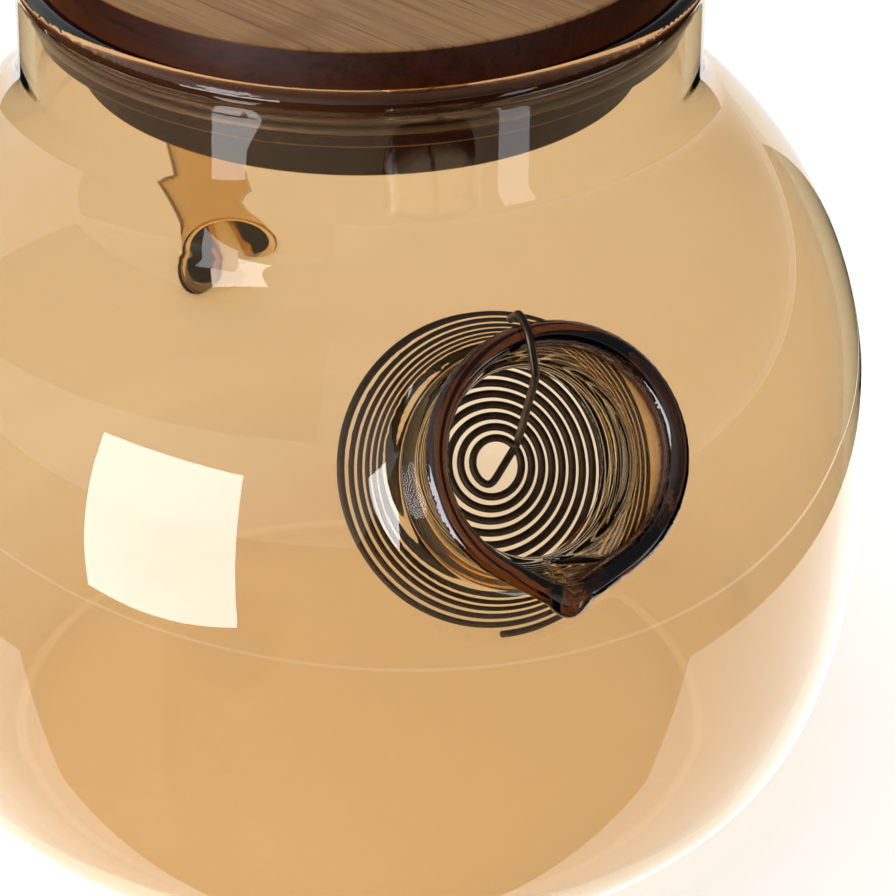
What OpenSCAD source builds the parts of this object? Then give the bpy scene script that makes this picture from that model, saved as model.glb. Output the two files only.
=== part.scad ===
// Amber glass teapot: blown body with a wide neck, fused spout and handle,
// a coiled wire strainer hooked in the spout, and a laminated bamboo lid
// that plugs the neck and is sealed by a silicone ring.
//
// Frame: origin at the centre of the base, +Z up, spout towards -Y,
// handle towards +Y.

/* [Glass body] */
// Radius of the body at its widest
belly_r = 69.1; // [68:0.1:71]
// Height of the rim above the table
glass_h = 122; // [121:1:126]
// Outside radius of the neck
neck_r = 45; // [44:0.5:46]
// Thickness of the glass wall and floor
wall = 2.4; // [2:0.1:2.6]
// Radius of the fire-polished bead on the rim
rim_bead_r = 1.5; // [1.3:0.1:1.8]

/* [Spout] */
// Distance of the mouth's centre from the body's axis
mouth_reach = 80; // [79.5:0.1:81]
// Height of the mouth's centre above the table
mouth_h = 90; // [89:0.5:91]
// Rise of the spout's axis above level, in degrees
spout_rise = 33; // [32:0.5:35]
// Radius of the bore, and of the hole in the body behind it
spout_bore_r = 11.4; // [11:0.1:12]
// Radius of the mouth at the middle of its lip bead
mouth_r = 14.9; // [14.5:0.1:15.2]
// Radius of the lip bead
lip_bead_r = 1.3; // [1.1:0.1:1.4]
// Distance of the beak's tip from the centre of the mouth
beak_reach = 18.3; // [17.5:0.1:19]

/* [Handle] */
// Radius of the glass rod
handle_rod_r = 6; // [5:0.5:7]
// Radius of the bend, at the middle of the rod
handle_bend_r = 28; // [25:1:30]
// Distance of the bend's centre from the body's axis
handle_reach = 75; // [73:1:77]
// Height of the bend's centre above the table
handle_h = 73.5; // [70:0.5:75]
// Slope of the two arms, in degrees below level towards the body
handle_slope = 20; // [15:1:25]

/* [Strainer] */
// Radius of the wire
wire_r = 0.5; // [0.4:0.05:0.55]
// Number of turns in the coil
coil_turns = 12; // [8:1:12]
// Radius of the coil's innermost turn
coil_inner_r = 3.2; // [3:0.1:4]
// Average spacing of the turns
coil_pitch = 1.43; // [1.3:0.01:1.45]
// Distance of the coil behind the mouth, along the spout's axis
coil_depth = 30.8; // [30.6:0.1:32]
// Turn of the hook from the top of the mouth, in degrees
hook_turn = 12.6; // [-20:0.2:20]

/* [Lid] */
// Radius of the lid's upper part
lid_r = 42; // [41.5:0.1:42.1]
// Radius of the plug under it
plug_r = 37; // [34:0.5:38]
// Thickness of the bamboo board
board_t = 19.4; // [18:0.2:21]
// How far the board stands above the glass rim
lid_proud = 4.4; // [4:0.1:6]
// Width of one bamboo strip
strip_w = 16.8; // [16.8:0.1:18]
// Direction of the grain, in degrees from the X axis
grain_angle = 119; // [0:1:179]
// Height of the groove for the seal ring
groove_w = 3.2; // [2.8:0.1:4]
// Depth of the groove for the seal ring
groove_d = 1.8; // [1.5:0.1:2.2]
// Clearance round the seal ring
seal_gap = 0.08; // [0.04:0.01:0.1]

/* [Hidden] */
$fn = 96;

amber = [0.85, 0.62, 0.38, 0.55];
dark_amber = [0.45, 0.24, 0.12];
steel = [0.55, 0.53, 0.50];
bamboo = [0.60, 0.46, 0.32];
core_bamboo = [0.52, 0.39, 0.27];
silicone = [0.80, 0.74, 0.66];

past = 1;            // how far a cutting shape runs past the surface it cuts
arc_step = 5;        // largest turn between two points of an arc, in degrees

// The body's outline is a chain of arcs that meet without a corner. Each arc
// has a radius, and ends where the surface faces the given angle above level.
heel_r = 20;
heel_end = -20;
lower_r = 60;
lower_end = -4;
belly_curve_r = 200;
belly_end = 5;
shoulder_r = 56;
shoulder_end = 49;
neck_fillet_r = 3;   // hollow curve from shoulder to neck

function polar(r, a) = [r * cos(a), r * sin(a)];
function arc(c, r, from, to) =
    let (n = max(2, ceil(abs(to - from) / arc_step)))
    [for (i = [0:n]) c + polar(r, from + (to - from) * i / n)];

belly_h = heel_r - (belly_curve_r - lower_r) * sin(lower_end)
    - (lower_r - heel_r) * sin(heel_end);
belly_c = [belly_r - belly_curve_r, belly_h];
lower_c = belly_c + polar(belly_curve_r - lower_r, lower_end);
heel_c = lower_c + polar(lower_r - heel_r, heel_end);
shoulder_c = belly_c + polar(belly_curve_r - shoulder_r, belly_end);
shoulder_tip = shoulder_c + polar(shoulder_r, shoulder_end);
slope_len = (shoulder_tip[0] + polar(neck_fillet_r, shoulder_end)[0]
    - neck_r - neck_fillet_r) / sin(shoulder_end);
fillet_c = shoulder_tip + polar(slope_len, shoulder_end + 90)
    + polar(neck_fillet_r, shoulder_end);

// Outline of the body, t in from the outer surface, closed along the axis.
function body_outline(t, top) = concat(
    [[0, t]],
    arc(heel_c, heel_r - t, -90, heel_end),
    arc(lower_c, lower_r - t, heel_end, lower_end),
    arc(belly_c, belly_curve_r - t, lower_end, belly_end),
    arc(shoulder_c, shoulder_r - t, belly_end, shoulder_end),
    arc(fillet_c, neck_fillet_r + t, shoulder_end + 180, 180),
    [[neck_r - t, top], [0, top]]);

neck_bore_r = neck_r - wall;
rim_bead_h = glass_h - rim_bead_r;
// The body is one blown piece, drawn as level bands that are simple rings:
// base, belly, shoulder and neck.
band_levels = [-past, 15, 62, fillet_c[1], glass_h + past];

spout_wall = 2;
tube_len = 26;       // tube behind the mouth, before it is cut to the body
taper_len = 12;      // the bore widens over this length towards the mouth
tube_r = spout_bore_r + spout_wall;
mouth_bore_r = mouth_r - 0.8 * lip_bead_r;
root_r = 17;         // flared root of the spout, before it is cut to the body
root_len = 9;
beak_angle = acos(mouth_r / beak_reach);  // where the lip leaves its circle
beak_start = mouth_r * cos(beak_angle);   // distance of that place below centre
beak_half_w = mouth_r * sin(beak_angle);
beak_len = beak_reach - beak_start;
lip_joint = 1;       // gap in the lip's ring that a knuckle covers, in degrees
knuckle = 1.1;       // radius of a knuckle, as a part of its rod's radius

handle_root_r = 9.3; // the rod flares to this where it joins the body
handle_root_len = 8;
handle_tail = 4;     // length past the flare, before it is cut to the body
weld_r = 0.1;        // how far the weld between bend and arm stands out
weld_half_w = 0.8;
arm_lengths = [15.5, 10];    // lower and upper arm, from the bend to the flare

coil_shift = 1.5;    // the inner turns sit this far off the spout's axis
coil_axis = 22;      // direction of that shift, in degrees from level
coil_start = 44;     // first part turn, in degrees
coil_stop = 116;     // last part turn, in degrees
stem_foot = [4.5, 2.6];      // where the stem leaves the plane of the coil
// Corners of the hook as [distance from the spout's axis, distance past the mouth].
hook_path = [[9.9, 0.4], [15, 2.5], [17.7, 1], [17.2, -3.2]];

ply_t = board_t / 3;
lid_top = glass_h + lid_proud;
core_top = lid_top - ply_t;
base_top = core_top - ply_t;
lid_bottom = lid_top - board_t;
groove_h = base_top + (ply_t - groove_w) / 2;
lid_edge_r = 0.6;    // rounding of the lid's corners
strips = 5;
rib_r = 0.5;         // ribs of the seal ring
rib_spacing = 1.6;
seal_band = 1.3;     // thickness of the ring's band inside the ribs

// ---- Helpers --------------------------------------------------------------

// Puts children on the spout's axis: local Z out of the mouth, local Y up.
module at_mouth() {
    translate([0, -mouth_reach, mouth_h])
        rotate([90 - spout_rise, 0, 0])
            children();
}

// Puts flat drawings in the handle's upright plane: local X outwards, local Y up.
module in_handle_plane() {
    rotate([90, 0, 90]) children();
}

module rod(from, to, r) {
    d = to - from;
    translate(from)
        rotate([0, acos(d[2] / norm(d)), atan2(d[1], d[0])])
            cylinder(h = norm(d), r = r);
}

// Straight rods from point to point, with a knuckle at each one's far end.
module bent_rod(points, r) {
    for (i = [1:len(points) - 1]) {
        rod(points[i - 1], points[i], r);
        translate(points[i]) sphere(r * knuckle);
    }
}

module body_solid() {
    rotate_extrude() polygon(body_outline(0, rim_bead_h));
}

// ---- Glass ----------------------------------------------------------------

module glass_body() {
    difference() {
        union() {
            body_solid();
            translate([0, 0, rim_bead_h]) rotate_extrude()
                translate([neck_bore_r + rim_bead_r, 0]) circle(rim_bead_r);
        }
        rotate_extrude() polygon(body_outline(wall, glass_h + past));
        at_mouth() translate([0, 0, -2 * tube_len])
            cylinder(h = 2 * tube_len, r = spout_bore_r);
    }
}

module glass_band(i) {
    color(amber) intersection() {
        glass_body();
        translate([0, 0, band_levels[i]])
            cylinder(h = band_levels[i + 1] - band_levels[i], r = belly_r + past);
    }
}

// Outside of the spout: flared root, straight tube and widening mouth.
module spout_tube() {
    rotate_extrude() polygon([
        [0, -tube_len], [root_r, -tube_len], [tube_r, root_len - tube_len],
        [tube_r, -taper_len], [mouth_bore_r + spout_wall, 0], [0, 0]]);
}

module spout_bore() {
    widening = (mouth_bore_r - spout_bore_r) / taper_len;
    rotate_extrude() polygon([
        [0, -tube_len - past], [spout_bore_r, -tube_len - past],
        [spout_bore_r, -taper_len], [mouth_bore_r + widening * past, past],
        [0, past]]);
}

// The beak is half a cone that lies in the plane of the mouth. Its groove is a
// smaller cone of the same slope.
module beak(shrink) {
    translate([0, -beak_start, 0]) rotate([90, 0, 0])
        cylinder(h = beak_len - shrink, r1 = beak_half_w - shrink,
                 r2 = lip_bead_r - 0.9 * shrink);
}

// The bead round the mouth: most of a ring, and two straight sides to the
// beak's tip. A small knuckle of glass covers each joint.
module lip() {
    tip = [0, -beak_reach, 0];
    ring_start = beak_angle - 90 + lip_joint;
    rotate([0, 0, ring_start])
        rotate_extrude(angle = 270 - beak_angle - lip_joint - ring_start)
            translate([mouth_r, 0]) circle(lip_bead_r);
    for (side = [-1, 1]) {
        corner = [side * beak_half_w, -beak_start, 0];
        rod(corner + (tip - corner) * lip_joint / 20, tip, lip_bead_r);
        translate(corner) sphere(lip_bead_r * knuckle);
    }
    translate(tip) sphere(lip_bead_r * knuckle);
}

module spout() {
    color(dark_amber) {
        difference() {
            at_mouth() difference() {
                union() {
                    spout_tube();
                    beak(0);
                }
                cylinder(h = 2 * root_r, r = 2 * root_r);
                spout_bore();
                beak(lip_bead_r);
            }
            body_solid();
        }
        at_mouth() lip();
    }
}

// One arm and its flared root, running up local Z from its weld to the bend.
module handle_arm(len) {
    flare_end = len + handle_root_len;
    tail_end = flare_end + handle_tail;
    rotate_extrude() polygon([
        [0, -weld_half_w], [handle_rod_r + weld_r, -weld_half_w],
        [handle_rod_r + weld_r, weld_half_w], [handle_rod_r, weld_half_w],
        [handle_rod_r, len], [handle_root_r, flare_end],
        [handle_root_r, tail_end], [0, tail_end]]);
}

module handle() {
    color(amber) difference() {
        in_handle_plane() translate([handle_reach, handle_h]) {
            rotate([0, 0, handle_slope - 90])
                rotate_extrude(angle = 180)
                    translate([handle_bend_r, 0]) circle(handle_rod_r);
            for (end = [0, 1])
                translate(polar(handle_bend_r, handle_slope - 90 + 180 * end))
                    rotate([0, -90, handle_slope])
                        handle_arm(arm_lengths[end]);
        }
        body_solid();
    }
}

// ---- Strainer -------------------------------------------------------------

// The coil is a spiral of half turns. Their ends lie on one line through the
// spout's axis: upper(j) and lower(j) are its crossings on each side.
coil_lean = coil_shift / coil_turns;
function upper(j) = coil_shift + coil_inner_r + j * (coil_pitch - coil_lean);
function lower(j) = coil_shift - coil_inner_r - j * (coil_pitch + coil_lean);

// Arc of wire between crossings a and b, of the given turn, from a start angle.
module wire_arc(a, b, start, turn) {
    translate([(a + b) / 2, 0, 0]) rotate([0, 0, start])
        rotate_extrude(angle = turn)
            translate([abs(a - b) / 2, 0]) circle(wire_r, $fn = 24);
}

module coil() {
    rotate([0, 0, coil_axis]) {
        wire_arc(upper(0), lower(0), 180, coil_start);
        for (j = [0:coil_turns - 1]) {
            wire_arc(upper(j), lower(j), 0, 180);
            last = j == coil_turns - 1;
            wire_arc(upper(j), lower(j + 1), last ? -coil_stop : 180,
                     last ? coil_stop : 180);
        }
    }
}

stem_start = [stem_foot[0], stem_foot[1], -coil_depth];

// The coil, and the straight end of its wire out to the foot of the stem.
module strainer_coil() {
    end = polar(coil_shift, coil_axis)
        + polar(coil_inner_r, coil_axis + 180 + coil_start);
    coil_end = [end[0], end[1], -coil_depth];
    color(steel) at_mouth() {
        translate([0, 0, -coil_depth]) coil();
        translate(coil_end) sphere(wire_r * knuckle, $fn = 24);
        bent_rod([coil_end, stem_start], wire_r, $fn = 24);
    }
}

// The stem up the spout and the hook over its lip.
module strainer_hook() {
    hook = [for (p = hook_path)
        let (q = polar(p[0], 90 + hook_turn)) [q[0], q[1], p[1]]];
    color(steel) at_mouth() difference() {
        bent_rod(concat([stem_start], hook), wire_r, $fn = 24);
        translate(stem_start) sphere(wire_r * knuckle, $fn = 24);
    }
}

// ---- Lid ------------------------------------------------------------------

module seal_ring() {
    ring_h = groove_w - 2 * seal_gap;
    inner_r = lid_r - groove_d + seal_gap;
    color(silicone) translate([0, 0, groove_h + seal_gap]) rotate_extrude() {
        translate([inner_r, 0]) square([seal_band, ring_h]);
        for (side = [-1, 1])
            translate([neck_bore_r - seal_gap - rib_r,
                       ring_h / 2 + side * rib_spacing / 2])
                circle(rib_r);
    }
}

// The i-th strip of a ply whose grain runs along the given direction.
module strip(i, direction) {
    intersection() {
        children();
        rotate([0, 0, direction])
            translate([-2 * lid_r, (i - 1 - strips / 2) * strip_w, 0])
                cube([4 * lid_r, strip_w, 2 * lid_top]);
    }
}

module lid_top_strip(i) {
    color(bamboo) strip(i, grain_angle)
        rotate_extrude() polygon(concat(
            [[0, core_top], [lid_r, core_top]],
            arc([lid_r - lid_edge_r, lid_top - lid_edge_r], lid_edge_r, 0, 90),
            [[0, lid_top]]));
}

module lid_core_strip(i) {
    groove_r = lid_r - groove_d;
    groove_top = groove_h + groove_w;
    color(core_bamboo) strip(i, grain_angle + 90)
        rotate_extrude() polygon(concat(
            [[0, base_top]],
            arc([lid_r - lid_edge_r, base_top + lid_edge_r], lid_edge_r, -90, 0),
            [[lid_r, groove_h], [groove_r, groove_h], [groove_r, groove_top],
             [lid_r, groove_top], [lid_r, core_top], [0, core_top]]));
}

module lid_base_strip(i) {
    color(bamboo) strip(i, grain_angle)
        rotate_extrude() polygon(concat(
            [[0, lid_bottom]],
            arc([plug_r - lid_edge_r, lid_bottom + lid_edge_r], lid_edge_r, -90, 0),
            [[plug_r, base_top], [0, base_top]]));
}

// ---- Drawing --------------------------------------------------------------

for (i = [0:3])
    glass_band(i);
spout();
handle();
strainer_coil();
strainer_hook();
seal_ring();
for (i = [1:strips]) {
    lid_top_strip(i);
    lid_core_strip(i);
    lid_base_strip(i);
}
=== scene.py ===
import math

import bmesh
import bpy
import numpy as np
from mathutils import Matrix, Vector


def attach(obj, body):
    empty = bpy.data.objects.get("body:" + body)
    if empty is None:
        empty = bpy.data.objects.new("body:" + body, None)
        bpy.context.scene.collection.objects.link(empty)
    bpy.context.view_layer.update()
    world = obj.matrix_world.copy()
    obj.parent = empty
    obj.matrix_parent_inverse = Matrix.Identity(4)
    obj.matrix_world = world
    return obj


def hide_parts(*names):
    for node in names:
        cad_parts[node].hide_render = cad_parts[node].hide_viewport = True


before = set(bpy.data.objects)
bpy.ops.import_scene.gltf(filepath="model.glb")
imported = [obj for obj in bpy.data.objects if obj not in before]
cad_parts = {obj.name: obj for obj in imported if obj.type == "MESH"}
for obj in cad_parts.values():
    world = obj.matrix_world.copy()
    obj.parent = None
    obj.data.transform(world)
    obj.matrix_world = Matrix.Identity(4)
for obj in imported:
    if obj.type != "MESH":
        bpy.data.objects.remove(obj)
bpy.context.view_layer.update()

MM = 0.001


# ---- Mesh helpers ----------------------------------------------------------

def new_object(name, mesh, body, material, nodes):
    """A finished piece that rides on a body and stands for some CAD nodes."""
    piece = bpy.data.objects.new(name, mesh)
    bpy.context.scene.collection.objects.link(piece)
    mesh.materials.append(material)
    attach(piece, body)
    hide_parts(*nodes)


def mesh_from(name, points, faces, smooth=True):
    """A mesh from points in millimetres and faces of vertex numbers."""
    mesh = bpy.data.meshes.new(name)
    mesh.from_pydata((np.asarray(points) * MM).tolist(), [], faces)
    mesh.validate()
    mesh.polygons.foreach_set("use_smooth", [smooth] * len(mesh.polygons))
    mesh.update()
    return mesh


def polar(radius, degrees):
    """The two coordinates of a point at this radius and angle."""
    a = math.radians(degrees)
    return np.array([radius * math.cos(a), radius * math.sin(a)])


# ---- Glass as a distance field ---------------------------------------------
# All lengths below are millimetres. Negative distance is inside the glass.

BELLY_R, NECK_R, WALL = 69.08, 45.0, 2.4
GLASS_H, RIM_BEAD = 122.0, 1.5
HEEL_R, LOWER_R, BELLY_CURVE_R, SHOULDER_R, NECK_FILLET_R = 20.0, 60.0, 200.0, 56.0, 10.0
HEEL_END, LOWER_END, BELLY_END, SHOULDER_END = -20.0, -4.0, 5.0, 49.0

belly_h = (HEEL_R - (BELLY_CURVE_R - LOWER_R) * math.sin(math.radians(LOWER_END))
           - (LOWER_R - HEEL_R) * math.sin(math.radians(HEEL_END)))
belly_c = np.array([BELLY_R - BELLY_CURVE_R, belly_h])
lower_c = belly_c + polar(BELLY_CURVE_R - LOWER_R, LOWER_END)
heel_c = lower_c + polar(LOWER_R - HEEL_R, HEEL_END)
shoulder_c = belly_c + polar(BELLY_CURVE_R - SHOULDER_R, BELLY_END)
shoulder_tip = shoulder_c + polar(SHOULDER_R, SHOULDER_END)
slope_len = ((shoulder_tip[0] + polar(NECK_FILLET_R, SHOULDER_END)[0]
              - NECK_R - NECK_FILLET_R) / math.sin(math.radians(SHOULDER_END)))
slope_tip = shoulder_tip + polar(slope_len, SHOULDER_END + 90)
fillet_c = slope_tip + polar(NECK_FILLET_R, SHOULDER_END)

MOUTH = np.array([0.0, -80.0, 90.0])
RISE = math.radians(33.0)
SPOUT_AXIS = np.array([0.0, -math.cos(RISE), math.sin(RISE)])
SPOUT_UP = np.array([0.0, math.sin(RISE), math.cos(RISE)])
MOUTH_R, BEAK_REACH, LIP_R = 14.9, 17.3, 1.3
TUBE_MID_R, SPOUT_HALF_WALL = 12.4, 1.0
MOUTH_FLARE_LEN, BEAK_LEN, SPOUT_LEN = 15.0, 12.0, 27.0
ROOT_START, ROOT_FLARE = 9.0, 5.0    # where the tube starts to widen to the body
BORE_SHARE = 0.3                     # how much of that the bore follows
BORE_PAST = 4.0                      # how far the bore runs on into the body
BEAK_TURN = math.radians(5.0)
DROP_REACH, DROP_R = 16.9, 2.0       # the drop of glass at the beak's tip

HANDLE_C, HANDLE_BEND_R, HANDLE_ROD_R = np.array([75.0, 73.5]), 28.0, 6.0
HANDLE_SLOPE = 30.0                  # of the arms, in degrees below level
ARM_LEN = 24.0

# How softly each two shapes run into each other
SPOUT_BLEND, HANDLE_BLEND, BORE_BLEND, DROP_BLEND, BEAD_BLEND = 4.0, 6.0, 2.5, 1.5, 0.8


def above(r, z, point, degrees):
    """True on the anticlockwise side of the line through point at that angle."""
    a = math.radians(degrees)
    return math.cos(a) * (z - point[1]) - math.sin(a) * (r - point[0]) > 0


def body_distance(r, z):
    """Distance from the outside of the body, a chain of tangent arcs."""
    def arc(c, radius):
        return np.hypot(r - c[0], z - c[1]) - radius

    d = np.where(r < heel_c[0], -z, arc(heel_c, HEEL_R))
    d = np.where(above(r, z, heel_c, HEEL_END), arc(lower_c, LOWER_R), d)
    d = np.where(above(r, z, lower_c, LOWER_END), arc(belly_c, BELLY_CURVE_R), d)
    d = np.where(above(r, z, belly_c, BELLY_END), arc(shoulder_c, SHOULDER_R), d)
    n = polar(1, SHOULDER_END)
    slope = (r - shoulder_tip[0]) * n[0] + (z - shoulder_tip[1]) * n[1]
    d = np.where(above(r, z, shoulder_tip, SHOULDER_END), slope, d)
    d = np.where(above(r, z, slope_tip, SHOULDER_END),
                 -arc(fillet_c, NECK_FILLET_R), d)
    return np.where(z > fillet_c[1], r - NECK_R, d)


def smooth_min(a, b, k):
    """The lesser of a and b, rounded off where they differ by less than k."""
    h = np.maximum(k - np.abs(a - b), 0) / k
    return np.minimum(a, b) - h * h * k / 4


def ramp(x, length):
    """0 up to -length, 1 at 0 and beyond."""
    return np.clip(x / length + 1, 0, 1)


def teardrop(u, v, radius, tip):
    """Distance from the outline round a circle and a tip below it."""
    u = np.abs(u)
    tip = np.maximum(tip, radius + 1e-4)
    cos_b = radius / tip
    sin_b = np.sqrt(1 - cos_b * cos_b)
    along = -u * cos_b - v * sin_b
    side = u * sin_b - v * cos_b - radius
    d = np.where(along > 0, side, np.hypot(u, v) - radius)
    return np.where(along > tip * sin_b, np.hypot(u, v + tip), d)


def spout_coordinates(x, y, z):
    """Across the spout, up it, and out along its axis from the mouth."""
    dy, dz = y - MOUTH[1], z - MOUTH[2]
    up = dy * SPOUT_UP[1] + dz * SPOUT_UP[2]
    return (x * math.cos(BEAK_TURN) - up * math.sin(BEAK_TURN),
            up * math.cos(BEAK_TURN) + x * math.sin(BEAK_TURN),
            dy * SPOUT_AXIS[1] + dz * SPOUT_AXIS[2])


def handle_distance(x, y, z):
    """Distance from a rod bent to a half circle, with two straight arms."""
    dy, dz = y - HANDLE_C[0], z - HANDLE_C[1]
    lean = math.radians(HANDLE_SLOPE)
    outward = dy * math.cos(lean) + dz * math.sin(lean)
    bend = np.hypot(np.hypot(dy, dz) - HANDLE_BEND_R, x)
    across = -dy * math.sin(lean) + dz * math.cos(lean)
    past = np.maximum(-outward - ARM_LEN, 0)
    arm = np.sqrt((np.abs(across) - HANDLE_BEND_R) ** 2 + x * x + past * past)
    return np.where(outward > 0, bend, arm) - HANDLE_ROD_R


def glass_distance(x, y, z):
    """Distance from all the glass: body, spout and handle, less the hollow, with
    a bead round the rim, another round the spout's lip, and the drop."""
    r = np.hypot(x, y)
    body = body_distance(r, z)
    u, v, w = spout_coordinates(x, y, z)
    mid_r = TUBE_MID_R + (MOUTH_R - TUBE_MID_R) * ramp(w, MOUTH_FLARE_LEN) ** 2
    beak = (BEAK_REACH - MOUTH_R) * ramp(w, BEAK_LEN) ** 2
    wall_mid = teardrop(u, v, mid_r, mid_r + beak)
    root = ROOT_FLARE * np.clip((-w - ROOT_START) / (SPOUT_LEN - ROOT_START), 0, 1) ** 2
    spout = np.maximum(np.maximum(wall_mid - SPOUT_HALF_WALL - root, w), -w - SPOUT_LEN)
    bore = np.maximum(wall_mid + SPOUT_HALF_WALL - BORE_SHARE * root,
                      -w - SPOUT_LEN - BORE_PAST)
    outside = smooth_min(body, spout, SPOUT_BLEND)
    outside = smooth_min(outside, handle_distance(x, y, z), HANDLE_BLEND)
    hollow = smooth_min(body + WALL, bore, BORE_BLEND)
    shell = np.maximum(outside, -hollow)
    rim_h = GLASS_H - RIM_BEAD
    shell = np.maximum(shell, z - rim_h)
    rim = np.hypot(r - NECK_R + WALL - RIM_BEAD, z - rim_h) - RIM_BEAD
    lip = np.hypot(teardrop(u, v, MOUTH_R, BEAK_REACH), w) - LIP_R
    drop = np.sqrt(u * u + (v + DROP_REACH) ** 2 + w * w) - DROP_R
    lip = smooth_min(lip, drop, DROP_BLEND)
    return smooth_min(smooth_min(shell, rim, BEAD_BLEND), lip, BEAD_BLEND)


def gradient(points, eps=0.01):
    """How the distance grows along x, y and z at each point."""
    x, y, z = points.T
    g = np.stack([
        glass_distance(x + eps, y, z) - glass_distance(x - eps, y, z),
        glass_distance(x, y + eps, z) - glass_distance(x, y - eps, z),
        glass_distance(x, y, z + eps) - glass_distance(x, y, z - eps)], axis=1)
    return g / (2 * eps)


def onto_surface(points, rounds=4):
    """Points moved to where the distance is nil, and the normals there."""
    for _ in range(rounds):
        g = gradient(points)
        step = glass_distance(*points.T) / np.maximum((g * g).sum(1), 0.2)
        points = points - np.clip(step, -0.5, 0.5)[:, None] * g
    g = gradient(points)
    return points, g / np.linalg.norm(g, axis=1)[:, None]


def surface_net(field, low, step):
    """Quads round the zero surface of a field sampled on a regular grid."""
    inside = field < 0
    corner = [(i, j, k) for i in (0, 1) for j in (0, 1) for k in (0, 1)]
    size = [n - 1 for n in field.shape]

    def shifted(a, c):
        return a[tuple(slice(o, o + n) for o, n in zip(c, size))]

    count = sum(shifted(inside, c).astype(np.int8) for c in corner)
    cells = np.argwhere((count > 0) & (count < 8))
    number = np.full(size, -1, np.int32)
    number[tuple(cells.T)] = np.arange(len(cells))
    total, hits = np.zeros((len(cells), 3)), np.zeros(len(cells))
    for c in corner:
        for axis in range(3):
            if c[axis]:
                continue
            far = list(c)
            far[axis] = 1
            a = field[tuple((cells + c).T)]
            b = field[tuple((cells + far).T)]
            cross = (a < 0) != (b < 0)
            t = np.where(cross, a / np.where(cross, a - b, 1), 0)
            at = np.array(c, float)[None, :].repeat(len(cells), 0)
            at[:, axis] += t
            total += at * cross[:, None]
            hits += cross
    points = low + step * (cells + total / hits[:, None])
    faces = []
    for axis in range(3):
        one, two = (axis + 1) % 3, (axis + 2) % 3
        start = [slice(1, -1)] * 3
        start[axis] = slice(0, -1)
        end = [slice(1, -1)] * 3
        end[axis] = slice(1, None)
        a, b = inside[tuple(start)], inside[tuple(end)]
        offset = np.array([1, 1, 1])
        offset[axis] = 0
        for flip, edges in ((False, a & ~b), (True, ~a & b)):
            at = np.argwhere(edges) + offset
            e1, e2 = np.eye(3, dtype=int)[one], np.eye(3, dtype=int)[two]
            ring = [at - e1 - e2, at - e2, at, at - e1]
            quad = np.stack([number[tuple(p.T)] for p in ring], axis=1)
            faces.append(quad[:, ::-1] if flip else quad)
    return points, np.concatenate(faces)


GRID_STEP = 0.9
GRID_LOW = np.array([-71.0, -93.5, -1.5])
GRID_HIGH = np.array([71.0, 111.0, 123.5])
FINE_REACH = 5.0         # faces this near the lip are split once more
FINE_RIM = 4.0           # and so are those this near the top
# How far the lip's dark paint reaches: a deeper tint and painted shade
SHADED_LIP_IN, SHADED_LIP_FADE = 3.1, 1.2
TINT_RIM_IN, TINT_RIM_FADE = 3.0, 0.9
TINT_DROP_IN, TINT_DROP_FADE, TINT_DROP_SHIFT = 2.4, 1.4, 1.2
DROP_CLEARNESS = 0.65    # how much of the lip's dark tint and painted shade the drop loses


def glass_mesh():
    """The glass as one mesh with exact normals, painted for its redder rim and its dark
    lip, where a deeper tint and painted shade are painted in.
    """
    axes = [np.arange(a, b, GRID_STEP, dtype=np.float32)
            for a, b in zip(GRID_LOW, GRID_HIGH)]
    field = np.empty([len(a) for a in axes], np.float32)
    for i, x in enumerate(axes[0]):
        y, z = np.meshgrid(axes[1], axes[2], indexing="ij")
        field[i] = glass_distance(np.full_like(y, x), y, z)
    points, quads = surface_net(field, GRID_LOW, GRID_STEP)
    mesh = mesh_from("glass", onto_surface(points)[0], quads.tolist())
    refine(mesh)
    points, normals = onto_surface(mesh_points(mesh))
    mesh.vertices.foreach_set("co", (points * MM).ravel())
    mesh.normals_split_custom_set_from_vertices(normals.tolist())
    x, y, z = points.T
    u, v, w = spout_coordinates(x, y, z)
    from_lip = np.hypot(teardrop(u, v, MOUTH_R, BEAK_REACH), w)
    from_rim = np.hypot(np.hypot(x, y) - NECK_R + WALL - RIM_BEAD, z - GLASS_H + RIM_BEAD)
    from_tip = np.sqrt(u * u + (v + DROP_REACH + TINT_DROP_SHIFT) ** 2 + w * w)
    drop = np.clip(TINT_DROP_IN - from_tip / TINT_DROP_FADE, 0, 1)
    # The lip's paint: partly a deeper tint of thick glass, partly painted shade for the
    # dark surroundings the lip refracts
    lip = np.clip(SHADED_LIP_IN - from_lip / SHADED_LIP_FADE, 0, 1)
    rim = np.clip(TINT_RIM_IN - from_rim / TINT_RIM_FADE, 0, 1)
    paint(mesh, "lip", lip * (1 - DROP_CLEARNESS * drop))
    paint(mesh, "rim", np.maximum(rim, drop))
    mesh.update()
    return mesh


def paint(mesh, name, values):
    """One number for each vertex, which a material reads by this name."""
    layer = mesh.attributes.new(name, "FLOAT", "POINT")
    layer.data.foreach_set("value", values.astype(np.float32))


def mesh_points(mesh):
    """The mesh's vertices in millimetres."""
    co = np.empty(len(mesh.vertices) * 3)
    mesh.vertices.foreach_get("co", co)
    return co.reshape(-1, 3) / MM


def refine(mesh):
    """Splits the faces of the rim's bead and of the spout's lip once more."""
    x, y, z = mesh_points(mesh).T
    u, v, w = spout_coordinates(x, y, z)
    near = np.abs(teardrop(u, v, MOUTH_R, BEAK_REACH)) + np.abs(w) < FINE_REACH
    near |= z > GLASS_H - FINE_RIM
    bm = bmesh.new()
    bm.from_mesh(mesh)
    bm.verts.ensure_lookup_table()
    edges = [e for e in bm.edges if near[e.verts[0].index] and near[e.verts[1].index]]
    bmesh.ops.subdivide_edges(bm, edges=edges, cuts=1, use_grid_fill=True)
    bmesh.ops.triangulate(bm, faces=[f for f in bm.faces if len(f.verts) > 4])
    bm.to_mesh(mesh)
    bm.free()
    mesh.polygons.foreach_set("use_smooth", [True] * len(mesh.polygons))


# ---- Materials -------------------------------------------------------------

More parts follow.
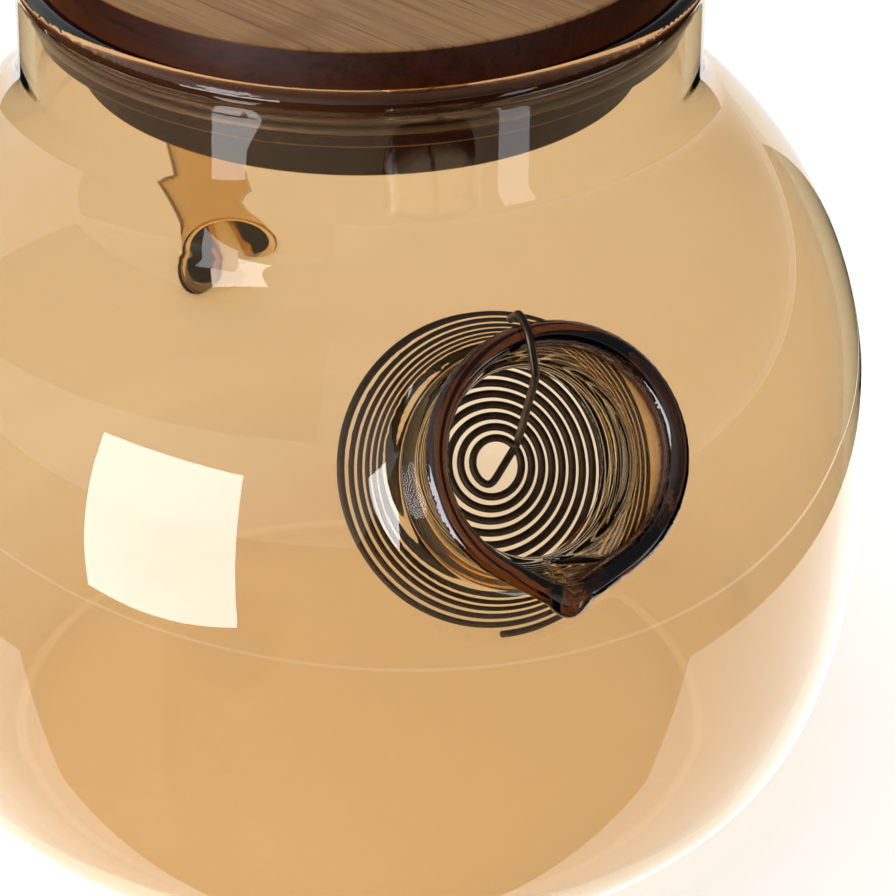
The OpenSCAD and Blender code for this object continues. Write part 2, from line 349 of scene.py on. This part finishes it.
WALL_TINT = (0.835, 0.700, 0.540, 1)
RIM_TINT = (0.70, 0.34, 0.16, 1)
# Near black at the lip: a deeper tint of thick glass plus painted shade for the dark
# surroundings it refracts
LIP_TINT_AND_SHADE = (0.026, 0.006, 0.0035, 1)
SHADOW_TINT = (0.93, 0.915, 0.90, 1)
GLASS_IOR, SILICONE_IOR = 1.47, 1.41
DEPTH_TINT, DEPTH_DENSITY = (0.85, 0.65, 0.05, 1), 70.0     # of light inside the glass
# The wire's colours are painted near black: painted shade for the dark surroundings the
# steel mirrors
WIRE_SHADED_DARK, WIRE_SHADED_LIGHT = (0.018, 0.012, 0.009, 1), (0.085, 0.062, 0.048, 1)
SILICONE_DARK, SILICONE_LIGHT = (0.13, 0.085, 0.06, 1), (0.20, 0.14, 0.10, 1)


def material(name):
    m = bpy.data.materials.new(name)
    m.use_nodes = True
    tree = m.node_tree
    tree.nodes.clear()
    return m, tree


def node(tree, kind, **values):
    """A node whose inputs and properties are set by name."""
    n = tree.nodes.new(kind)
    for key, value in values.items():
        if hasattr(n, key):
            setattr(n, key, value)
        else:
            n.inputs[key.replace("_", " ")].default_value = value
    return n


def set_inputs(n, **values):
    for key, value in values.items():
        n.inputs[key.replace("_", " ")].default_value = value


def mix_colour(tree, factor, a, b, blend="MIX"):
    """Output of a Mix node. factor, a and b are sockets or plain values."""
    n = tree.nodes.new("ShaderNodeMix")
    n.data_type = "RGBA"
    n.blend_type = blend
    for socket, value in ((n.inputs[0], factor), (n.inputs[6], a), (n.inputs[7], b)):
        if isinstance(value, bpy.types.NodeSocket):
            tree.links.new(value, socket)
        else:
            socket.default_value = value
    return n.outputs[2]


def attribute(tree, name):
    """The number painted on the mesh by this name."""
    n = tree.nodes.new("ShaderNodeAttribute")
    n.attribute_name = name
    return n.outputs["Fac"]


def glass_material():
    """Clear amber glass, redder at the rim, and dark at the spout's lip, where a deeper
    tint and painted shade for the dark surroundings it refracts are painted in. Light
    passes it to the floor with a faint tint and no caustics."""
    m, tree = material("amber_glass")
    out = node(tree, "ShaderNodeOutputMaterial")
    glass = node(tree, "ShaderNodeBsdfPrincipled", Roughness=0.0, IOR=GLASS_IOR)
    glass.inputs["Transmission Weight"].default_value = 1.0
    tint = mix_colour(tree, attribute(tree, "rim"), WALL_TINT, RIM_TINT)
    # painted shade and deeper tint at the lip
    tint = mix_colour(tree, attribute(tree, "lip"), tint, LIP_TINT_AND_SHADE)
    clear = node(tree, "ShaderNodeBsdfTransparent")
    clear.inputs["Color"].default_value = SHADOW_TINT
    path = node(tree, "ShaderNodeLightPath")
    mix = node(tree, "ShaderNodeMixShader")
    absorb = node(tree, "ShaderNodeVolumeAbsorption", Density=DEPTH_DENSITY)
    absorb.inputs["Color"].default_value = DEPTH_TINT
    link = tree.links.new
    link(tint, glass.inputs["Base Color"])
    link(path.outputs["Is Shadow Ray"], mix.inputs[0])
    link(glass.outputs[0], mix.inputs[1])
    link(clear.outputs[0], mix.inputs[2])
    link(mix.outputs[0], out.inputs["Surface"])
    link(absorb.outputs[0], out.inputs["Volume"])
    return m


def wire_material():
    """Drawn steel wire painted near black, as painted shade for the dark surroundings it
    mirrors, finely uneven in colour and surface.
    """
    m, tree = material("steel_wire")
    out = node(tree, "ShaderNodeOutputMaterial")
    p = node(tree, "ShaderNodeBsdfPrincipled", Metallic=1.0, Roughness=0.38)
    where = node(tree, "ShaderNodeTexCoord")
    noise = node(tree, "ShaderNodeTexNoise", Scale=900.0, Detail=3.0)
    tree.links.new(where.outputs["Object"], noise.inputs["Vector"])
    # painted shade, finely uneven
    colour = mix_colour(tree, noise.outputs["Fac"], WIRE_SHADED_DARK, WIRE_SHADED_LIGHT)
    tree.links.new(colour, p.inputs["Base Color"])
    bump = node(tree, "ShaderNodeBump", Strength=0.15, Distance=0.00002)
    tree.links.new(noise.outputs["Fac"], bump.inputs["Height"])
    tree.links.new(bump.outputs[0], p.inputs["Normal"])
    tree.links.new(p.outputs[0], out.inputs["Surface"])
    return m


def silicone_material():
    """Translucent silicone, brown from the bamboo behind it, faintly cloudy."""
    m, tree = material("silicone")
    out = node(tree, "ShaderNodeOutputMaterial")
    p = node(tree, "ShaderNodeBsdfPrincipled", Roughness=0.35)
    set_inputs(p, Transmission_Weight=0.45, IOR=SILICONE_IOR)
    where = node(tree, "ShaderNodeTexCoord")
    noise = node(tree, "ShaderNodeTexNoise", Scale=260.0, Detail=2.0)
    tree.links.new(where.outputs["Object"], noise.inputs["Vector"])
    colour = mix_colour(tree, noise.outputs["Fac"], SILICONE_DARK, SILICONE_LIGHT)
    tree.links.new(colour, p.inputs["Base Color"])
    tree.links.new(p.outputs[0], out.inputs["Surface"])
    return m


def math_node(tree, operation, a, b):
    """Output of a Math node. a and b are sockets or plain values."""
    n = tree.nodes.new("ShaderNodeMath")
    n.operation = operation
    for socket, value in zip(n.inputs, (a, b)):
        if isinstance(value, bpy.types.NodeSocket):
            tree.links.new(value, socket)
        else:
            socket.default_value = value
    return n.outputs[0]


def noise_on(tree, vector, scale, offset, detail=3.0, distortion=0.0):
    """Noise on a vector scaled along its three axes, and moved by offset."""
    place = tree.nodes.new("ShaderNodeMapping")
    place.inputs["Scale"].default_value = scale
    place.inputs["Location"].default_value = offset
    noise = node(tree, "ShaderNodeTexNoise", Scale=1.0, Detail=detail)
    noise.inputs["Distortion"].default_value = distortion
    tree.links.new(vector, place.inputs["Vector"])
    tree.links.new(place.outputs[0], noise.inputs["Vector"])
    return noise.outputs["Fac"]


def ramp_on(tree, factor, stops):
    """Colour from a factor through stops of (position, colour)."""
    n = tree.nodes.new("ShaderNodeValToRGB")
    elements = n.color_ramp.elements
    while len(elements) < len(stops):
        elements.new(0.5)
    for element, (at, value) in zip(elements, stops):
        element.position = at
        element.color = (*value, 1)
    tree.links.new(factor, n.inputs["Fac"])
    return n.outputs["Color"]


BAMBOO_BASE, BAMBOO_LIGHT = (0.325, 0.175, 0.068), (0.410, 0.232, 0.096)
BAMBOO_DARK = (0.215, 0.100, 0.036)
BLACK, WHITE = (0, 0, 0), (1, 1, 1)
# Noise scales along the grain and across it, per metre
BROAD_SCALE, FIBRE_SCALE = (9, 160, 160), (22, 900, 900)
PORE_SCALE, CLOUD_SCALE = (60, 1900, 1900), (14, 40, 40)
NODE_SPREAD, NODE_WOBBLE, NODE_WIDTH = 0.03, 0.006, 0.004   # of the culm's node, in metres


def bamboo_material(name, grain, seed, tone, side_shade):
    """Laminated bamboo: broad and fine streaks along the grain, pores, cloudy
    stains, a faint band where the culm had a node, and painted shade on the upright sides."""
    m, tree = material(name)
    out = node(tree, "ShaderNodeOutputMaterial")
    p = node(tree, "ShaderNodeBsdfPrincipled")
    set_inputs(p, Coat_Weight=0.03, Coat_Roughness=0.3, Specular_IOR_Level=0.08)
    where = node(tree, "ShaderNodeTexCoord")
    turn = tree.nodes.new("ShaderNodeMapping")
    turn.inputs["Rotation"].default_value = (0, 0, -math.radians(grain))
    tree.links.new(where.outputs["Object"], turn.inputs["Vector"])
    along = turn.outputs[0]
    spot = (seed * 7.31, seed * 3.17, seed * 1.93)
    broad = noise_on(tree, along, BROAD_SCALE, spot, detail=2, distortion=0.3)
    fibre = noise_on(tree, along, FIBRE_SCALE, spot, detail=4)
    pore = noise_on(tree, along, PORE_SCALE, spot, detail=2)
    cloud = noise_on(tree, along, CLOUD_SCALE, spot, detail=3)

    def toned(rgb, share=1.0):
        return (*[share * tone * c for c in rgb], 1)

    def marked(under, mark, strength, over):
        """The colour under, with over where the mark is white."""
        return mix_colour(tree, math_node(tree, "MULTIPLY", mark, strength), under, over)

    colour = mix_colour(tree, ramp_on(tree, broad, [(0.35, BLACK), (0.65, WHITE)]),
                        toned(BAMBOO_BASE), toned(BAMBOO_LIGHT))
    streak = ramp_on(tree, fibre, [(0.36, WHITE), (0.56, BLACK)])
    colour = marked(colour, streak, 0.75, toned(BAMBOO_DARK))
    speck = ramp_on(tree, pore, [(0.30, WHITE), (0.40, BLACK)])
    colour = marked(colour, speck, 0.6, toned(BAMBOO_DARK, 0.5))
    stain = ramp_on(tree, cloud, [(0.58, BLACK), (0.80, WHITE)])
    colour = marked(colour, stain, 0.55, toned(BAMBOO_DARK))
    split = tree.nodes.new("ShaderNodeSeparateXYZ")
    tree.links.new(along, split.inputs[0])
    node_at = NODE_SPREAD * math.sin(seed * 2.4)
    wobble = math_node(tree, "MULTIPLY", broad, NODE_WOBBLE)
    gap = math_node(tree, "ABSOLUTE", math_node(
        tree, "SUBTRACT", math_node(tree, "ADD", split.outputs[0], wobble), node_at), 0)
    band = ramp_on(tree, math_node(tree, "DIVIDE", gap, NODE_WIDTH),
                   [(0.25, WHITE), (0.9, BLACK)])
    colour = marked(colour, band, 0.45, toned(BAMBOO_DARK))
    # Painted shade: faces that stand upright are multiplied by the ply's shade colour, as
    # the lid's side lies in shade
    facing = tree.nodes.new("ShaderNodeNewGeometry")
    upright = tree.nodes.new("ShaderNodeSeparateXYZ")
    tree.links.new(facing.outputs["Normal"], upright.inputs[0])
    side = ramp_on(tree, math_node(tree, "ABSOLUTE", upright.outputs[2], 0),
                   [(0.3, WHITE), (0.8, BLACK)])
    colour = mix_colour(tree, side, colour, mix_colour(
        tree, 1.0, colour, side_shade, "MULTIPLY"))
    tree.links.new(colour, p.inputs["Base Color"])
    rough = tree.nodes.new("ShaderNodeMapRange")
    rough.inputs["To Min"].default_value = 0.38
    rough.inputs["To Max"].default_value = 0.62
    tree.links.new(fibre, rough.inputs["Value"])
    tree.links.new(rough.outputs[0], p.inputs["Roughness"])
    bump = node(tree, "ShaderNodeBump", Strength=0.35, Distance=0.00006)
    tree.links.new(fibre, bump.inputs["Height"])
    tree.links.new(bump.outputs[0], p.inputs["Normal"])
    tree.links.new(p.outputs[0], out.inputs["Surface"])
    return m


# ---- Wire ------------------------------------------------------------------

WIRE_R, COIL_TURNS, COIL_INNER_R, COIL_PITCH = 0.5, 12, 3.2, 1.43
COIL_DEPTH, HOOK_TURN = 30.8, 7.0
COIL_SHIFT, COIL_AXIS, COIL_START, COIL_STOP = 1.5, 22, 44, 116
STEM_FOOT = (4.5, 2.6)
# The hook's corners: distance from the spout's axis, and distance past the mouth
HOOK_PATH = [(9.9, 0.4), (15, 2.5), (17.7, 1), (17.2, -3.2)]
WIRE_STEP, WIRE_SMOOTHING = 0.3, 14
WIRE_END_R, WIRE_END_BULGE = 0.6, 0.35     # of the wire's own radius


def coil_points():
    """The spiral as half turns, from its inner end to its outer end."""
    lean = COIL_SHIFT / COIL_TURNS

    def upper(j):
        return COIL_SHIFT + COIL_INNER_R + j * (COIL_PITCH - lean)

    def lower(j):
        return COIL_SHIFT - COIL_INNER_R - j * (COIL_PITCH + lean)

    arcs = [(upper(0), lower(0), 180 + COIL_START, 180)]
    for j in range(COIL_TURNS):
        last = j == COIL_TURNS - 1
        arcs.append((upper(j), lower(j), 180, 0))
        arcs.append((upper(j), lower(j + 1), 360, 360 - COIL_STOP if last else 180))
    points = []
    for a, b, start, end in arcs:
        count = max(2, int(abs(a - b) / 2 * math.radians(abs(start - end))
                           / WIRE_STEP))
        for t in np.linspace(start, end, count, endpoint=False):
            points.append(np.array([(a + b) / 2, 0]) + polar(abs(a - b) / 2, t))
    turn = math.radians(COIL_AXIS)
    spin = np.array([[math.cos(turn), -math.sin(turn)], [math.sin(turn), math.cos(turn)]])
    return np.array(points) @ spin.T


def straight(corners):
    """Points along straight lines between corners."""
    points = []
    for a, b in zip(corners, corners[1:]):
        count = max(2, int(np.linalg.norm(b - a) / WIRE_STEP))
        points += [a + (b - a) * t for t in np.linspace(0, 1, count, endpoint=False)]
    return points + [corners[-1]]


def wire_line():
    """The middle of the wire: coil from the outside in, stem, and hook."""
    coil = coil_points()
    flat = np.column_stack([coil, np.full(len(coil), -COIL_DEPTH)])[::-1]
    foot = np.array([*STEM_FOOT, -COIL_DEPTH])
    hook = [np.array([*polar(r, 90 + HOOK_TURN), w]) for r, w in HOOK_PATH]
    line = np.array(list(flat) + straight([flat[-1], foot, *hook])[1:])
    for _ in range(WIRE_SMOOTHING):
        line[1:-1] = (line[:-2] + 2 * line[1:-1] + line[2:]) / 4
    return (MOUTH + np.outer(line[:, 0], [1, 0, 0]) + np.outer(line[:, 1], SPOUT_UP)
            + np.outer(line[:, 2], SPOUT_AXIS))


def tube(name, line, radius, sides=10):
    """A round wire along a line, with rounded ends."""
    tangent = np.gradient(line, axis=0)
    tangent /= np.linalg.norm(tangent, axis=1)[:, None]
    side = np.cross(tangent[0], [0.3, 0.2, 0.9])
    rings = []
    for p, t in zip(line, tangent):
        side = side - t * (side @ t)
        side /= np.linalg.norm(side)
        other = np.cross(t, side)
        angle = np.arange(sides) * 2 * math.pi / sides
        rings.append(p + radius * (np.outer(np.cos(angle), side)
                                   + np.outer(np.sin(angle), other)))
    for at, way in ((0, -1), (-1, 1)):
        centre, ring = line[at], rings[at]
        cap = (centre + WIRE_END_R * (ring - centre)
               + way * WIRE_END_BULGE * radius * tangent[at])
        if at == 0:
            rings.insert(0, cap)
        else:
            rings.append(cap)
    points = np.concatenate(rings)
    faces = [[k * sides + i, k * sides + (i + 1) % sides,
              (k + 1) * sides + (i + 1) % sides, (k + 1) * sides + i]
             for k in range(len(rings) - 1) for i in range(sides)]
    faces += [list(range(sides))[::-1],
              [len(points) - sides + i for i in range(sides)]]
    return mesh_from(name, points, faces)


# ---- Pieces ----------------------------------------------------------------

def nodes_named(start):
    return [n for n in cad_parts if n.startswith(start)]


new_object("glass_teapot", glass_mesh(), "glass", glass_material(),
           nodes_named("glass_") + ["spout", "handle"])
new_object("strainer_wire", tube("strainer", wire_line(), WIRE_R), "strainer",
           wire_material(), nodes_named("strainer"))

GRAIN = 119.0
PLY_TONES = {"top": (1.0, 0.92, 1.08, 0.96, 1.03), "core": (0.8, 0.88, 0.76, 0.85, 0.8),
             "base": (0.9, 0.97, 0.86, 0.94, 0.9)}
# Painted shade for the upright sides of each ply, darker for the lower plies
SIDE_SHADES = {"top": (0.115, 0.050, 0.035, 1), "core": (0.09, 0.045, 0.05, 1),
              "base": (0.070, 0.034, 0.040, 1)}


def dress(name, new_material):
    """A CAD node keeps its shape and gets this material."""
    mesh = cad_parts[name].data
    mesh.materials.clear()
    mesh.materials.append(new_material)


for seed, (ply, tones) in enumerate(PLY_TONES.items()):
    for i, tone in enumerate(tones, start=1):
        strip = f"lid_{ply}_strip_{i}"
        grain = GRAIN + 90 if ply == "core" else GRAIN
        dress(strip, bamboo_material(strip, grain, 5 * seed + i, tone, SIDE_SHADES[ply]))
dress("seal_ring", silicone_material())


# ---- Stage, camera and lights ----------------------------------------------

# Lengths from here on are metres, and directions are degrees round the teapot.
FLOOR_R, FLOOR_DROP, FLOOR_GLOW = 3.0, 0.0003, 0.56
CAMERA_SIDE = -107.0                             # direction of the camera
DARK_R, DARK_GAP_R = 2.5, 0.16                   # how far the dark table reaches,
DARK_GAP_START, DARK_GAP_END = 43, 106           # and in the gap behind the teapot
PLATE_FRONT, PLATE_R, PLATE_GLOW = 0.068, 0.133, 1.9
EDGE_R, EDGE_HALF, EDGE_SHIFT, EDGE_GLOW = 0.168, 0.001, -0.015, 1.4
FLAG_R, FLAG_LOW, FLAG_HIGH, FLAG_STEP = 0.064, 0.084, 0.1165, 10
NECK_GLINT_R, NECK_GLINT, FILLET_GLINT = 0.052, 5.0, 9.0
DARK_LIFT, EDGE_LIFT, PLATE_LIFT = 0.0001, 0.0002, 0.0003   # keep the cards apart
CAMERA_PLACE, CAMERA_AIM = (-0.1499, -0.4905, 0.3562), (0, 0, 0.0448)
LENS, SENSOR, SHIFT, CLIP_START = 173.7, 36.0, 0.098, 0.01
WINDOW_COLOUR, LIGHT_AIM = (0.95, 0.96, 1.0), (0, 0, 0.1)
# Softboxes: place, aim, width, height, watts
TOP_LIGHT = ((-0.25, -0.1, 1.3), LIGHT_AIM, 0.9, 0.7, 4.5)
LEFT_LIGHT = ((-1.0, 0.2, 0.7), LIGHT_AIM, 0.5, 0.8, 3)
# Reflected windows: direction, distance, low edge, high edge, width, glow
WINDOW_LEFT = (-143, 0.185, 0.002, 0.112, 0.095, 14)
WINDOW_RIGHT = (-61, 0.200, 0.015, 0.075, 0.035, 3)
# Greys of the surroundings, from level (0) to straight up (1)
GREYS_RIGHT = [(0.0, 0.6), (0.05, 0.4), (0.25, 0.2), (1.0, 0.22)]
GREYS_LEFT = [(0.0, 1), (0.3, 1), (0.6, 0.9), (0.85, 0.22)]


def add(name, data, place=(0, 0, 0)):
    obj = bpy.data.objects.new(name, data)
    obj.location = place
    bpy.context.scene.collection.objects.link(obj)
    return obj


def plain_material(name, colour, glow):
    """A matt colour that also glows."""
    m, tree = material(name)
    out = node(tree, "ShaderNodeOutputMaterial")
    p = node(tree, "ShaderNodeBsdfPrincipled", Roughness=0.8)
    p.inputs["Base Color"].default_value = (*colour, 1)
    p.inputs["Specular IOR Level"].default_value = 0.1
    p.inputs["Emission Color"].default_value = (1, 1, 1, 1)
    p.inputs["Emission Strength"].default_value = glow
    tree.links.new(p.outputs[0], out.inputs["Surface"])
    return m


def make_floor():
    """A round pale floor that glows softly, as a light table does."""
    bm = bmesh.new()
    bmesh.ops.create_circle(bm, cap_ends=True, segments=96, radius=FLOOR_R)
    mesh = bpy.data.meshes.new("floor")
    bm.to_mesh(mesh)
    bm.free()
    mesh.materials.append(plain_material("floor", (0.8, 0.8, 0.8), FLOOR_GLOW))
    add("floor", mesh, (0, 0, -FLOOR_DROP))


def only_reflected(obj):
    """This card is seen in reflections, and by nothing else."""
    obj.visible_camera = False
    obj.visible_diffuse = False
    obj.visible_transmission = False
    obj.visible_shadow = False


def card(name, corners, glow):
    """A flat card from its corners, in metres, that glows or is black."""
    mesh = bpy.data.meshes.new(name)
    mesh.from_pydata(corners, [], [list(range(len(corners)))])
    mesh.materials.append(plain_material(name, BLACK, glow))
    only_reflected(add(name, mesh))


def table_cards():
    """What the glass mirrors of the table: dark, cut short behind the teapot, with
    a bright plate that ends in front of it and a thin bright edge all round."""
    def circle(radius, height, count=96, turn=0.0, share=360.0):
        return [(*polar(radius, turn + share * i / count), height) for i in range(count)]

    gap = DARK_GAP_END - DARK_GAP_START
    dark = (circle(DARK_GAP_R, DARK_LIFT, 16, DARK_GAP_START, gap)
            + circle(DARK_R, DARK_LIFT, 97, DARK_GAP_END, 360 - gap))
    card("table_dark", dark, 0.0)
    half = math.degrees(math.acos(PLATE_FRONT / PLATE_R))
    plate = circle(PLATE_R, PLATE_LIFT, 96, CAMERA_SIDE + half, 360 - 2 * half)
    card("table_plate", plate, PLATE_GLOW)
    inner = circle(EDGE_R - EDGE_HALF, EDGE_LIFT)
    outer = circle(EDGE_R + EDGE_HALF, EDGE_LIFT)
    mesh = bpy.data.meshes.new("table_edge")
    n = len(inner)
    mesh.from_pydata(inner + outer, [], [(i, (i + 1) % n, n + (i + 1) % n, n + i)
                                         for i in range(n)])
    mesh.materials.append(plain_material("table_edge", BLACK, EDGE_GLOW))
    only_reflected(add("table_edge", mesh, (EDGE_SHIFT, 0, 0)))


def neck_cards():
    """A dark flag that keeps the left window off the neck, and two small bright
    cards for the short highlights that the neck and its fillet do show."""
    def bent(name, corners, radius, glow):
        card(name, [(*polar(radius, a), h) for a, h in corners], glow)

    for i, start in enumerate(range(-172, -112, FLAG_STEP)):
        end = start + FLAG_STEP
        bent(f"flag_{i}", [(start, FLAG_LOW), (end, FLAG_LOW), (end, FLAG_HIGH),
                           (start, FLAG_HIGH)], FLAG_R, 0.0)
    bent("glint_neck", [(-134.4, 0.1138), (-134.7, 0.1044), (-128.1, 0.1053),
                        (-127.6, 0.1096), (-124.6, 0.1141)], NECK_GLINT_R, NECK_GLINT)
    bent("glint_fillet", [(-142.7, 0.1336), (-136.8, 0.1205), (-126.6, 0.1277),
                          (-131.0, 0.137)], FLAG_R, FILLET_GLINT)


def make_world():
    """White for the camera; reflections find it bright behind and low on the left,
    and grey on the right."""
    world = bpy.data.worlds.new("studio")
    world.use_nodes = True
    bpy.context.scene.world = world
    tree = world.node_tree
    where = tree.nodes.new("ShaderNodeTexCoord")
    split = tree.nodes.new("ShaderNodeSeparateXYZ")
    tree.links.new(where.outputs["Generated"], split.inputs[0])
    right, left = (ramp_on(tree, split.outputs[2], [(at, (g, g, g)) for at, g in greys])
                   for greys in (GREYS_RIGHT, GREYS_LEFT))
    side = ramp_on(tree, math_node(tree, "ADD", split.outputs[0], 0.9),
                   [(0.3, WHITE), (0.9, BLACK)])
    behind = ramp_on(tree, split.outputs[1], [(0.55, BLACK), (0.85, WHITE)])
    colour = mix_colour(tree, behind, mix_colour(tree, side, right, left), (*WHITE, 1))
    seen = tree.nodes.new("ShaderNodeLightPath").outputs["Is Camera Ray"]
    colour = mix_colour(tree, seen, colour, (*WHITE, 1))
    tree.links.new(colour, tree.nodes["Background"].inputs["Color"])


def aimed(obj, target):
    """Turn a light or camera to look at a point."""
    way = Vector(target) - obj.location
    obj.rotation_euler = way.to_track_quat("-Z", "Y").to_euler()


def softbox(name, place, target, width, height, power, only_gloss=False):
    """A rectangular light that lights things, or only shows in reflections."""
    light = bpy.data.lights.new(name, "AREA")
    light.shape = "RECTANGLE"
    light.size, light.size_y = width, height
    light.energy = power
    light.color = WINDOW_COLOUR
    lamp = add(name, light, place)
    aimed(lamp, target)
    lamp.visible_camera = False
    lamp.visible_transmission = False
    lamp.visible_diffuse = not only_gloss
    lamp.visible_glossy = only_gloss


def make_camera():
    """The photo's view; the shift puts the teapot left of the middle, as there."""
    data = bpy.data.cameras.new("camera")
    data.lens = LENS
    data.sensor_width = SENSOR
    data.shift_x = SHIFT
    data.clip_start = CLIP_START
    camera = add("camera", data, CAMERA_PLACE)
    aimed(camera, CAMERA_AIM)
    bpy.context.scene.camera = camera


def reflector(name, degrees, away, low, high, width, glow):
    """A small upright softbox that only shows as a reflection."""
    x, y = polar(away, degrees)
    middle = (low + high) / 2
    area = width * (high - low)
    softbox(name, (x, y, middle), (0, 0, middle), width, high - low,
            glow * math.pi * area, only_gloss=True)


make_floor()
table_cards()
neck_cards()
make_world()
make_camera()
bpy.context.scene.view_settings.view_transform = "Standard"
softbox("top", *TOP_LIGHT)
softbox("left", *LEFT_LIGHT)
reflector("window_left", *WINDOW_LEFT)
reflector("window_right", *WINDOW_RIGHT)
